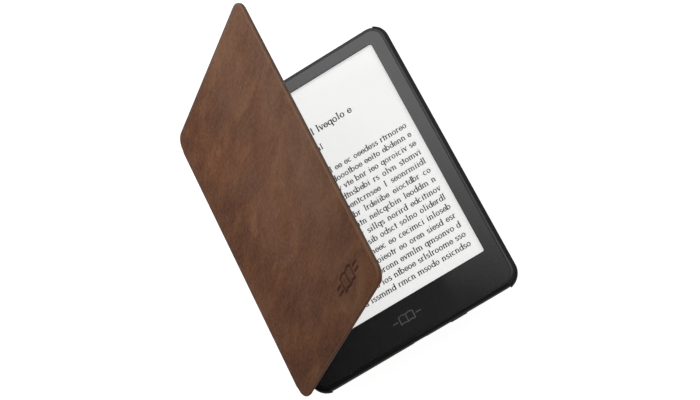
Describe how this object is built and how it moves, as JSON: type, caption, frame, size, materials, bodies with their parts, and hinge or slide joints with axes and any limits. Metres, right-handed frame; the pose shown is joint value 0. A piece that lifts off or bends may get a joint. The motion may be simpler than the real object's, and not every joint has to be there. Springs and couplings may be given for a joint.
{
  "type": "e-reader",
  "caption": "Flush-screen e-reader in a black moulded tray, with a hinged brown leather folio cover that closes over the screen or folds right back.",
  "frame": {"origin": "under the middle of the reader, on the cover's resting face", "axes": "+X to the right of the page, +Y to its top, +Z out of the screen"},
  "size_m": [0.1364, 0.1786, 0.1116],
  "materials": {
    "brown_leather": "distressed smooth brown leather, waxed",
    "grey_microfibre": "short-pile grey microfibre",
    "board_card": "grey-brown pressed board",
    "tray_plastic": "fine-textured black moulding",
    "shell_plastic": "soft-touch black",
    "key_plastic": "smooth black",
    "lens": "clear flush lens",
    "clear_layer": "clear film",
    "eink": "paper-white matte",
    "black_film": "printed black film",
    "tape": "black sealing tape",
    "seal_rubber": "black silicone",
    "frame_metal": "die-cast, unpainted",
    "shield_steel": "tin-plated pressing",
    "screw_steel": "zinc-plated",
    "magnet": "nickel-plated",
    "foil": "laminated pouch foil",
    "graphite": "graphite sheet",
    "flex": "amber polyimide flex",
    "circuit_board": "green solder mask",
    "connector": "black connector resin",
    "chip": "moulded package",
    "wire": "insulated wire"
  },
  "bodies": {
    "reader": {"antenna_film": "flex", "back_leather": "brown_leather", "battery_adhesive": "tape", "battery_lead": "wire", "battery_pouch": "foil", "board_screws": "screw_steel", "border_mask": "black_film", "button_seal": "seal_rubber", "cover_lens": "lens", "cover_tray": "tray_plastic", "display_connector": "connector", "display_ribbon": "flex", "eink_panel": "eink", "frame_screws": "screw_steel", "hall_sensor": "chip", "heat_spreader": "graphite", "led_strip": "flex", "lens_gasket": "tape", "light_guide": "clear_layer", "main_board": "circuit_board", "memory_chip": "chip", "mid_frame": "frame_metal", "power_chip": "chip", "power_shield": "shield_steel", "power_switch": "connector", "processor_chip": "chip", "processor_shield": "shield_steel", "reader_magnets": "magnet", "rear_shell": "shell_plastic", "status_led": "chip", "status_light_pipe": "clear_layer", "touch_connector": "connector", "touch_ribbon": "flex", "touch_sensor": "clear_layer", "tray_lining": "grey_microfibre", "usb_receptacle": "shield_steel", "usb_seal": "seal_rubber", "usb_tongue": "connector"},
    "spine": {"spine_leather": "brown_leather", "spine_lining": "grey_microfibre"},
    "flap": {"front_leather": "brown_leather", "front_board": "board_card", "front_lining": "grey_microfibre", "flap_magnets": "magnet"},
    "power_button": {"power_button": "key_plastic"},
    "switch_plunger": {"switch_plunger": "key_plastic"}
  },
  "joints": [
    {"name": "spine_hinge", "type": "hinge", "parent": "reader", "child": "spine", "pos_m": [-0.0663, 0, 0.0005], "axis": [0, -1, 0], "range_deg": [-24.77, 155.23]},
    {"name": "flap_hinge", "type": "hinge", "parent": "spine", "child": "flap", "pos_m": [-0.07137, 0, 0.01149], "axis": [0, -1, 0], "range_deg": [-24.77, 155.23]},
    {"name": "button_press", "type": "slide", "parent": "reader", "child": "power_button", "axis": [0, 1, 0], "range_m": [0, 0.00025]},
    {"name": "plunger_press", "type": "slide", "parent": "reader", "child": "switch_plunger", "axis": [0, 1, 0], "range_m": [0, 0.00025]}
  ],
  "couplings": [
    {"joint": "flap_hinge", "follows": "spine_hinge", "ratio": 1},
    {"joint": "plunger_press", "follows": "button_press", "ratio": 1}
  ]
}
